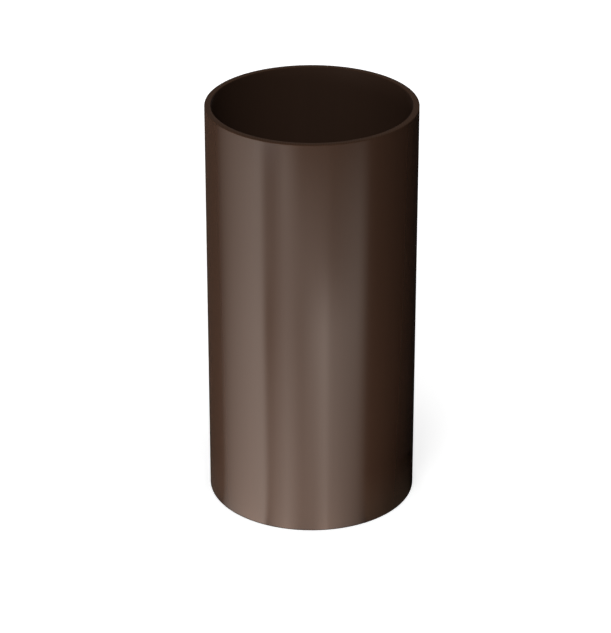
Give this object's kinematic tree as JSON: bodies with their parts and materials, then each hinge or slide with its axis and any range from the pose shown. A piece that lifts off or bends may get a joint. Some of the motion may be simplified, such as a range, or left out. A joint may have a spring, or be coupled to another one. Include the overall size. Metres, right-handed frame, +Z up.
{
  "type": "downpipe",
  "caption": "Plain round length of brown rainwater downpipe, open right through, with both ends sawn square and their edges lightly chamfered.",
  "frame": {"origin": "centre of the lower sawn end, on the pipe's axis, in the plane that the pipe stands on", "axes": "+Z up the pipe's axis to the upper sawn end; the pipe is round, so X and Y are any two directions across it"},
  "size_m": [0.11, 0.11, 0.22],
  "materials": {
    "brown_pvc": "semi-gloss extruded PVC-U, through-coloured brown"
  },
  "bodies": {
    "root": {"pipe": "brown_pvc"}
  },
  "joints": []
}
